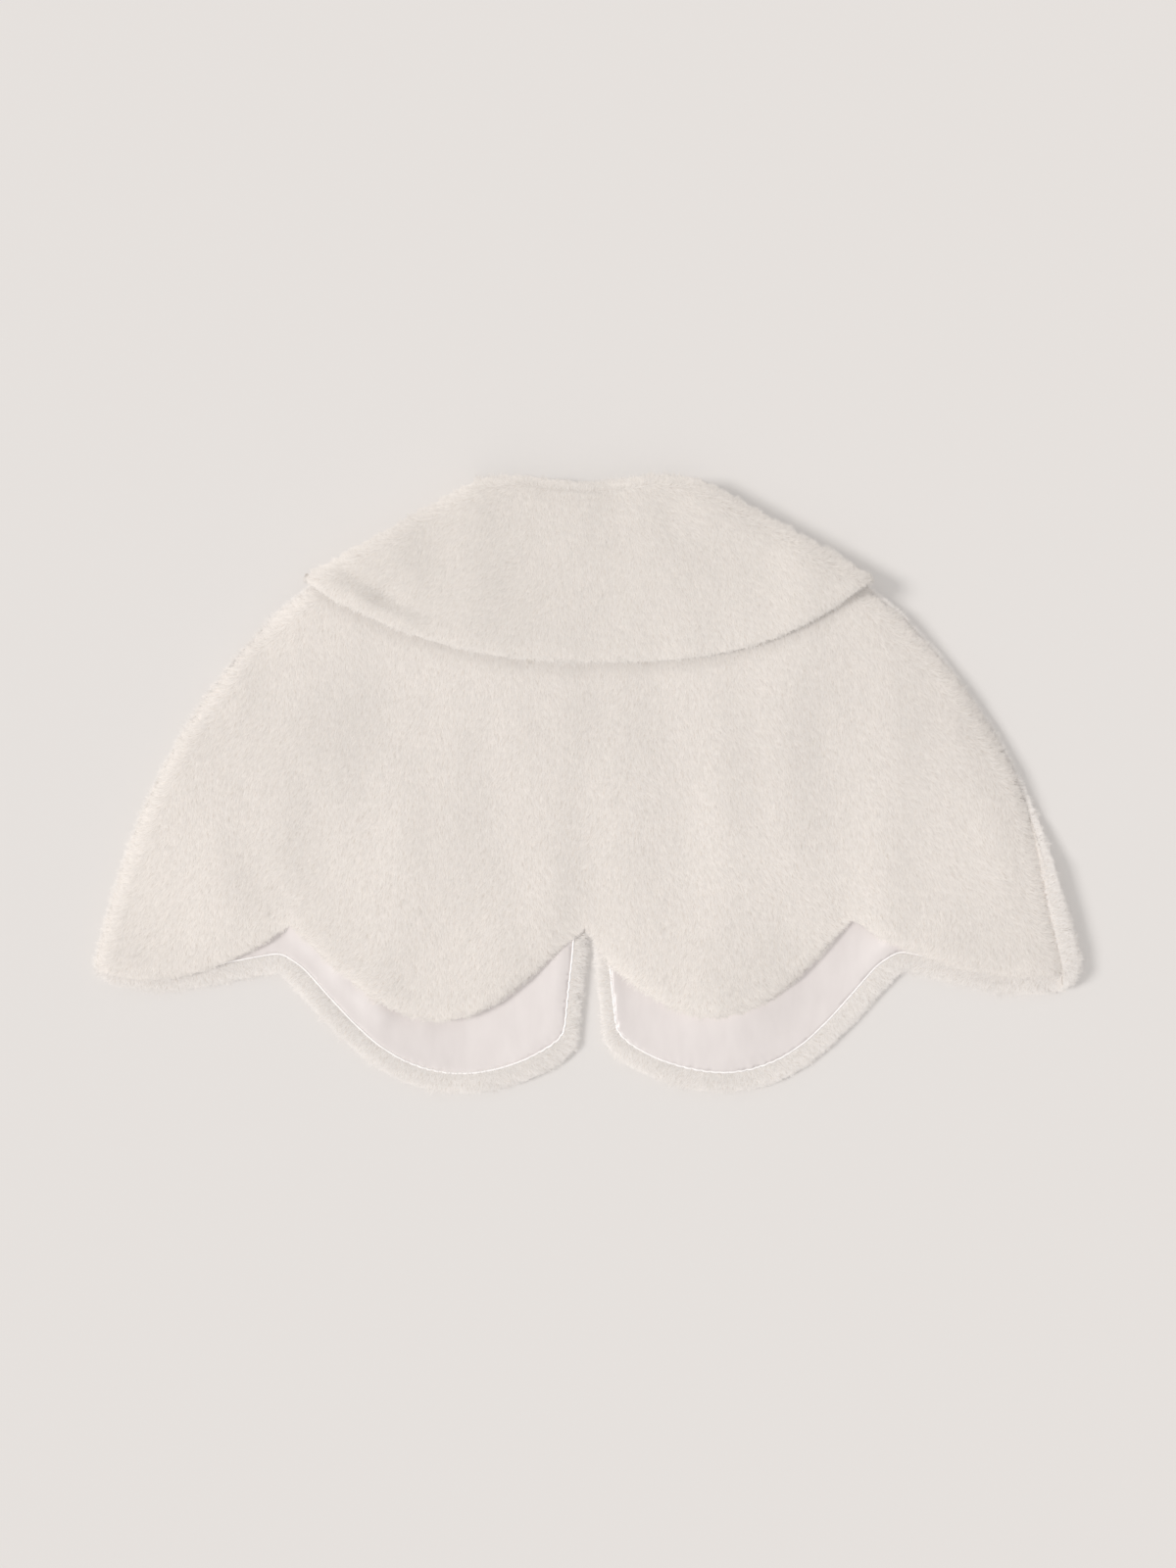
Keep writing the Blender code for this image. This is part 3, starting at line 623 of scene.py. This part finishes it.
def sheet_outline(node):
    """The outline of a lining's top face: even steps round it, with its corners rounded."""
    cloth = merged_copy(node)
    under = [face for face in cloth.faces if face.normal.z < LEVEL]
    bmesh.ops.delete(cloth, geom=under, context="FACES")
    cloth.edges.index_update()
    edges = {edge.index: edge for edge in cloth.edges if edge.is_boundary}
    walk = []
    while edges:
        chain = list(edges.pop(min(edges)).verts)
        onward = [edge for edge in chain[-1].link_edges if edge.index in edges]
        while onward:
            edges.pop(onward[0].index)
            chain.append(onward[0].other_vert(chain[-1]))
            onward = [edge for edge in chain[-1].link_edges if edge.index in edges]
        walk = max(walk, chain, key=len)
    corners = np.array([vertex.co for vertex in walk])
    cloth.free()
    lengths = np.concatenate([[0.0], np.cumsum(np.linalg.norm(np.diff(corners, axis=0), axis=1))])
    steps = np.linspace(0.0, lengths[-1], int(lengths[-1] / EDGE_STEP), endpoint=False)
    line = np.stack([np.interp(steps, lengths, corners[:, axis]) for axis in range(3)], axis=1)
    for _ in range(EDGE_ROUNDS):
        line = 0.5 * line + 0.25 * (np.roll(line, 1, axis=0) + np.roll(line, -1, axis=0))
    return line


def ways_out(line):
    """The way out of a closed line, level, at each of its points."""
    run = np.roll(line, -2, axis=0) - np.roll(line, 2, axis=0)
    turned = (line[:, 0] * run[:, 1] - line[:, 1] * run[:, 0]).sum()
    return unit(np.stack([run[:, 1], -run[:, 0], np.zeros(len(line))], axis=1)) * np.sign(turned)


def pucker_at(point, length, puckered):
    """Depth of the pucker at a point of the seam: deepest at each stitch, where the edge is drawn in most."""
    wave = 0.5 + 0.5 * math.cos(math.tau * length / STITCH_STEP)
    near = max(math.exp(-((math.dist(point[:2], spot) / PUCKER_REACH) ** 2)) for spot in puckered)
    return PUCKER * max(near, PUCKER_LEAST) * wave * wave


def satin_panel(name, node, creases, puckered, material):
    """The lining as a thin shell: a creased sheet inside its edge, which is lapped on the turned fur.
    Gives the shell, and the shown stretch of its edge with the way out and the distance along."""
    line = sheet_outline(node)
    ways = ways_out(line)
    lengths = np.arange(len(line)) * EDGE_STEP
    gather = np.array([pucker_at(point, length, puckered) for point, length in zip(line, lengths)])
    shown = line[:, 1] < SHOWN_Y
    line += ways * np.where(shown, SEAM_LAP - gather, 0.0)[:, None]
    low, high = line.min(axis=0), line.max(axis=0)
    spots = [
        (x, y)
        for step, first, last in ((SHOWN_STEP, low[1], SHOWN_Y), (HIDDEN_STEP, SHOWN_Y, high[1]))
        for y in np.arange(first, last, step)
        for x in np.arange(low[0], high[0], step)
    ]
    inside = np.array([np.linalg.norm(line[:, :2] - spot, axis=1).min() > EDGE_STEP for spot in spots])
    plan = [Vector(point[:2]) for point in line] + [Vector(spot) for spot, far in zip(spots, inside) if far]
    ring = [(index, (index + 1) % len(line)) for index in range(len(line))]
    plan, _, faces, *_ = geometry.delaunay_2d_cdt(plan, ring, [], 1, 1e-6)
    places = np.array([(*point, 0.0) for point in plan])
    gaps = np.array([np.linalg.norm(line[:, :2] - place[:2], axis=1) for place in places])
    nearest, away = gaps.argmin(axis=1), gaps.min(axis=1)
    places[:, 2] = line[nearest, 2]
    relief = creased(creases)
    lift = relief(places) * (SEAM_SHARE + (1.0 - SEAM_SHARE) * np.minimum(away / CREASE_FADE, 1.0))
    lift += SEAM_CLIMB * np.exp(-((away / CLIMB_SPREAD) ** 2))
    lift -= gather[nearest] * np.exp(-away / PUCKER_FADE)
    places[:, 2] += lift * np.clip((SHOWN_Y - places[:, 1]) / SHOWN_FADE, 0.0, 1.0)
    rim, _ = panel_rim(node.replace("lining", "front"))
    kept = []
    for face in faces:
        x, y, _ = places[list(face)].mean(axis=0)
        beside = abs(x) > SIDE_X and y > SIDE_HEM_Y and rim.find((x, y, 0.0))[2] < SIDE_CLEAR
        if not beside:
            kept.append(face)
    mesh = bpy.data.meshes.new(name)
    mesh.from_pydata(places, [], kept)
    cloth = bmesh.new()
    cloth.from_mesh(mesh)
    bpy.data.meshes.remove(mesh)
    bmesh.ops.delete(cloth, geom=[v for v in cloth.verts if not v.link_faces], context="VERTS")
    bmesh.ops.recalc_face_normals(cloth, faces=cloth.faces[:])
    for face in cloth.faces:
        face.smooth = True
    panel = mesh_piece(name, cloth, material)
    wall = panel.modifiers.new("wall", "SOLIDIFY")
    wall.thickness = SATIN_WALL
    wall.offset = -1.0
    line[:, 2] += SEAM_CLIMB - gather + SEAM_SHARE * relief(line)
    hidden = np.flatnonzero(line[:, 1] > SHOWN_Y - SEAM_START)[0]
    turn = (np.arange(len(line)) + hidden) % len(line)
    turn = turn[line[turn, 1] < SHOWN_Y - SEAM_START]
    return panel, [Vector(point) for point in line[turn]], [Vector(way) for way in ways[turn]], lengths[turn]


def rolled_edge(name, points, material):
    """The folded edge itself: a thin round roll of satin along the seam."""
    path = bpy.data.curves.new(name, "CURVE")
    path.dimensions = "3D"
    path.bevel_depth = EDGE_ROLL
    path.bevel_resolution = 2
    path.use_fill_caps = True
    line = path.splines.new("POLY")
    line.points.add(len(points) - 1)
    for spot, point in zip(line.points, points):
        spot.co = (*point, 1.0)
    roll = bpy.data.objects.new(name, path)
    mesh = bpy.data.meshes.new_from_object(roll)
    mesh.name = name
    bpy.data.objects.remove(roll)
    bpy.data.curves.remove(path)
    mesh.shade_smooth()
    mesh.materials.append(material)
    piece = bpy.data.objects.new(name, mesh)
    scene.collection.objects.link(piece)
    return piece


def felling(name, points, ways, lengths, material):
    """One mesh of slanting stitches over the folded edge, a thread's width thick and sunk at both ends."""
    thread = bmesh.new()
    count = 0
    for index, (point, way) in enumerate(zip(points, ways)):
        step = int(lengths[index] / STITCH_STEP)
        if index == 0 or step == int(lengths[index - 1] / STITCH_STEP):
            continue
        count += 1
        slant = math.radians(STITCH_SLANT + STITCH_STRAY * math.sin(5.0 * count))
        turn = Euler((math.radians(STITCH_DIP), 0.0, math.atan2(way.y, way.x) - math.pi / 2.0 + slant))
        place = point + way * STITCH_OUT + Vector((0.0, 0.0, STITCH_UP))
        size = Matrix.Diagonal((THREAD_HALF, STITCH_HALF, THREAD_HALF, 1.0))
        bmesh.ops.create_uvsphere(
            thread, u_segments=6, v_segments=6, radius=1.0,
            matrix=Matrix.Translation(place) @ turn.to_matrix().to_4x4() @ size,
        )
    for face in thread.faces:
        face.smooth = True
    return mesh_piece(name, thread, material)


satin, satin_shader = mottled_material(
    "ivory_satin", SATIN_DARK, SATIN_LIGHT, roughness=0.46, grain=9.0 * MM, streak=3.0, depth=0.06 * MM,
)
satin_shader.inputs["IOR"].default_value = SATIN_IOR
satin_shader.inputs["Sheen Weight"].default_value = 0.1
# The roll's paler colour is a painted highlight along the fold.
satin_edge_painted_highlight, _ = mottled_material(
    "satin_edge_painted_highlight", HIGHLIGHT_EDGE_DARK, HIGHLIGHT_EDGE_LIGHT, roughness=0.36, grain=9.0 * MM, streak=1.0, depth=0.05 * MM,
)
thread_ivory, _ = mottled_material(
    "ivory_thread", SATIN_DARK, SATIN_LIGHT, roughness=0.5, grain=0.6 * MM, streak=1.0, depth=0.1 * MM,
)
for side, area in (("left", 0.075), ("right", 0.073)):
    node = f"lining_{side}"
    panel, *seam = satin_panel(f"{node}_satin", node, LINING_CREASES[side], PUCKERED[side], satin)
    edge = rolled_edge(f"{node}_edge", seam[0], satin_edge_painted_highlight)
    stitches = felling(f"{node}_stitches", *seam, thread_ivory)
    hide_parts(node)
    for piece in (panel, edge, stitches):
        piece.visible_shadow = False
        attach(piece, "root")


# Back: one panel of the same fur with its pile up and its nap towards the hem, laid on the fronts.
# Soft valleys run up from the notches of the hem, and broad low waves lie between them.
BACK_FUR = Fur(2.4 * MM, 6.5 * MM, 0.46 * MM, 2.2 * MM, 0.16, 0.24, 0.35)
NAP_SPREAD = 1.8
SIDE_OVERHANG = 2.4 * MM
# Painted shade on the back's pile beside the collar's edge, and painted light: paler patches along the hem,
# most at the left towards the lamp, and a darker one at the right.
COLLAR_SHADE_REACH = 6.0 * MM
PAINTED_LIGHT_AND_SHADE_SPOTS = (
    ((-235 * MM, -85 * MM), 60 * MM, -0.50),
    ((-100 * MM, -110 * MM), 50 * MM, -0.30),
    ((70 * MM, -110 * MM), 50 * MM, -0.20),
    ((200 * MM, 30 * MM), 70 * MM, 0.22),
)
BACK_CREASES = (
    Crease((-208 * MM, -75 * MM), (-229 * MM, -38 * MM), 14 * MM, -1.6 * MM),
    Crease((-120 * MM, -103 * MM), (-113 * MM, 66 * MM), 16 * MM, 1.5 * MM),
    Crease((58 * MM, -62 * MM), (45 * MM, 58 * MM), 18 * MM, -1.2 * MM),
    Crease((88 * MM, -17 * MM), (86 * MM, 68 * MM), 14 * MM, 1.2 * MM),
    Crease((156 * MM, 28 * MM), (148 * MM, 52 * MM), 14 * MM, -1.0 * MM),
    Crease((195 * MM, 128 * MM), (262 * MM, 40 * MM), 22 * MM, -1.6 * MM),
    Crease((262 * MM, 40 * MM), (303 * MM, -40 * MM), 22 * MM, -1.6 * MM),
    Crease((303 * MM, -40 * MM), (316 * MM, -112 * MM), 20 * MM, -1.4 * MM),
)


def nap_to_hem(points):
    """Nap that runs down to the hem and spreads to the sides."""
    spread = NAP_SPREAD * points[:, 0]
    return unit(np.stack([spread, np.full(len(points), -1.0), np.zeros(len(points))], axis=1))


def painted_shade_and_light(points):
    """How much darker the pile is toned, as painted shade: most at the collar's edge, standing in for the
    soft shadow in the crevice there. The spots are painted light and shade: paler patches where below 0,
    darker ones above."""
    tree, _ = panel_rim("collar")
    away = np.array([tree.find((x, y, 0.0))[2] for x, y, _ in points])
    total = np.exp(-((away / COLLAR_SHADE_REACH) ** 2))
    for spot, size, amount in PAINTED_LIGHT_AND_SHADE_SPOTS:
        total += amount * np.exp(-((np.linalg.norm(points[:, :2] - spot, axis=1) / size) ** 2))
    return total


def side_overhang(points, normal):
    """How far the edges that face either side stand out."""
    sideways = np.clip(1.4 * np.abs(normal[:, 0]) - 0.4, 0.0, 1.0)
    return SIDE_OVERHANG * sideways


back_relief = creased(BACK_CREASES)
back_fur = fur_material("back_fur_pile", FUR_ROOT, FUR_TIP, FUR_DIM)
back_cloth = fur_backing("back_cloth", "back", BACK_FUR, back_relief, side_overhang, pressed_fur)
back_piles = fur_pile(
    "back_pile", "back", BACK_FUR, nap_to_hem, back_relief, side_overhang, painted_shade_and_light, back_fur, 4,
)
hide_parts("back")
for piece in [back_cloth, *back_piles]:
    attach(piece, "root")


# Collar: a deep round collar of the same fur that rolls over at the neck and lies on the back, with its
# nap from the neck to the edge. Its ends turn round the shoulders and lie under the fronts.
COLLAR_FUR = Fur(2.4 * MM, 6.0 * MM, 0.46 * MM, 2.2 * MM, 0.16, 0.26, 0.35)
# The collar's tips are a little darker than the back's, though it is the same fur: painted shade over the
# whole collar.
COLLAR_SHADED_TIP = (0.682, 0.642, 0.605)
NECK_MIDDLE_Y = 300.0 * MM
DRAWN_IN = 2.6 * MM
COLLAR_CREASES = (
    Crease((-158 * MM, 143 * MM), (-136 * MM, 126 * MM), 7 * MM, -1.4 * MM),
    Crease((-134 * MM, 126 * MM), (-104 * MM, 112 * MM), 6 * MM, -1.7 * MM),
    Crease((-160 * MM, 152 * MM), (-150 * MM, 147 * MM), 7 * MM, 1.6 * MM),
    Crease((-150 * MM, 122 * MM), (-112 * MM, 103 * MM), 6 * MM, 1.2 * MM),
    Crease((-62 * MM, 168 * MM), (-48 * MM, 120 * MM), 22 * MM, 1.0 * MM),
    Crease((60 * MM, 176 * MM), (110 * MM, 150 * MM), 20 * MM, -1.0 * MM),
)


def drawn_in_left(points, normal):
    """How far the edges that face left are drawn in, as less than no overhang."""
    leftward = np.clip(-1.6 * normal[:, 0] - 0.3, 0.0, 1.0)
    return -DRAWN_IN * leftward


def nap_from_neck(points):
    """Nap that fans out from a middle beyond the neck."""
    return unit(np.stack([points[:, 0], points[:, 1] - NECK_MIDDLE_Y, np.zeros(len(points))], axis=1))


collar_relief = creased(COLLAR_CREASES)
collar_shaded_fur = fur_material("collar_fur_pile", FUR_ROOT, COLLAR_SHADED_TIP, FUR_DIM)
collar_cloth = fur_backing("collar_cloth", "collar", COLLAR_FUR, collar_relief, drawn_in_left, pressed_fur)
collar_piles = fur_pile(
    "collar_pile", "collar", COLLAR_FUR, nap_from_neck, collar_relief, drawn_in_left, flat_lie, collar_shaded_fur, 2,
)
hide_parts("collar")
for piece in [collar_cloth, *collar_piles]:
    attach(piece, "root")
